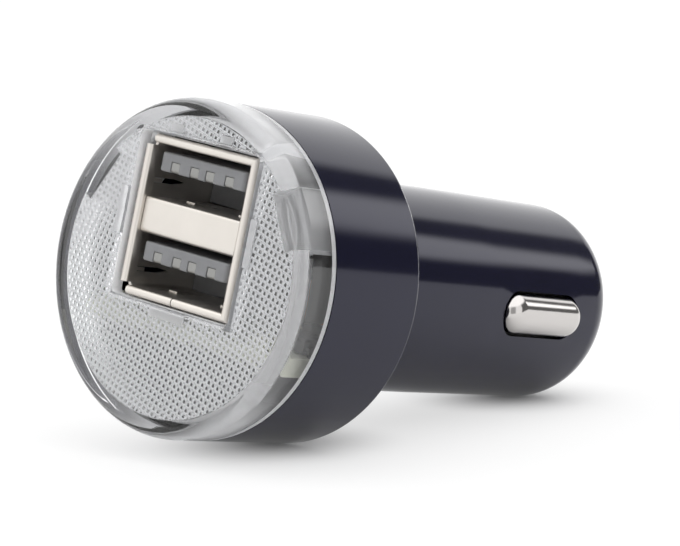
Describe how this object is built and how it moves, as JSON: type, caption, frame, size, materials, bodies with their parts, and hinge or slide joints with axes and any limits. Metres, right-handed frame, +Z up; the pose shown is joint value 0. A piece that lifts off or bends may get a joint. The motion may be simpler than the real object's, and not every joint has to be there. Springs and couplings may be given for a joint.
{
  "type": "car usb charger plug",
  "caption": "Round-headed car socket plug with stacked charging ports in a clear front lens, a drafted barrel with sprung side contacts and a sprung tip.",
  "frame": {"origin": "centre of the shoulder that stops on the socket's rim, on the barrel's axis", "axes": "+Y along the barrel into the socket, +Z up the stack of ports, +X to the right of someone who looks at the ports"},
  "size_m": [0.032, 0.0637, 0.032],
  "materials": {
    "housing_plastic": "glossy near-black moulded plastic",
    "clear_plastic": "clear moulded polycarbonate",
    "plated_sheet": "satin nickel-plated sheet",
    "insulator_plastic": "natural translucent moulding",
    "plated_blade": "tin-plated spring brass",
    "board_laminate": "pale laminate",
    "bright_nickel": "polished nickel plate",
    "spring_steel": "drawn spring wire",
    "ferrite": "sintered ferrite",
    "enamelled_copper": "enamelled copper wire",
    "can_aluminium": "drawn aluminium can",
    "chip_resin": "moulded black resin",
    "chip_ceramic": "sintered ceramic chip",
    "lamp_resin": "clear lamp resin"
  },
  "bodies": {
    "charger": {"housing": "housing_plastic", "lens_cap": "clear_plastic", "usb_shell": "plated_sheet", "usb_divider": "plated_sheet", "usb_insulator_upper": "insulator_plastic", "usb_insulator_lower": "insulator_plastic", "usb_contacts_upper": "plated_blade", "usb_contacts_lower": "plated_blade", "circuit_board": "board_laminate", "tip_spring": "spring_steel", "tip_terminal": "plated_blade", "inductor_core": "ferrite", "inductor_winding": "enamelled_copper", "input_capacitor": "can_aluminium", "output_capacitor": "can_aluminium", "converter_chip": "chip_resin", "rectifier_diode": "chip_resin", "input_fuse": "chip_ceramic", "indicator_leds": "lamp_resin", "chip_resistors": "chip_resin", "ceramic_capacitors": "chip_ceramic"},
    "right_contact": {"side_contact_right": "bright_nickel"},
    "left_contact": {"side_contact_left": "bright_nickel"},
    "tip": {"tip_contact": "bright_nickel"}
  },
  "joints": [
    {"name": "right_contact_press", "type": "slide", "parent": "charger", "child": "right_contact", "axis": [-1, 0, 0], "range_m": [0, 0.00125], "stiffness_N_per_m": 2000, "springref_m": -0.001},
    {"name": "left_contact_press", "type": "slide", "parent": "charger", "child": "left_contact", "axis": [1, 0, 0], "range_m": [0, 0.00125], "stiffness_N_per_m": 2000, "springref_m": -0.001},
    {"name": "tip_press", "type": "slide", "parent": "charger", "child": "tip", "axis": [0, -1, 0], "range_m": [0, 0.003], "stiffness_N_per_m": 800, "springref_m": -0.003, "deforming": ["tip_spring"]}
  ]
}
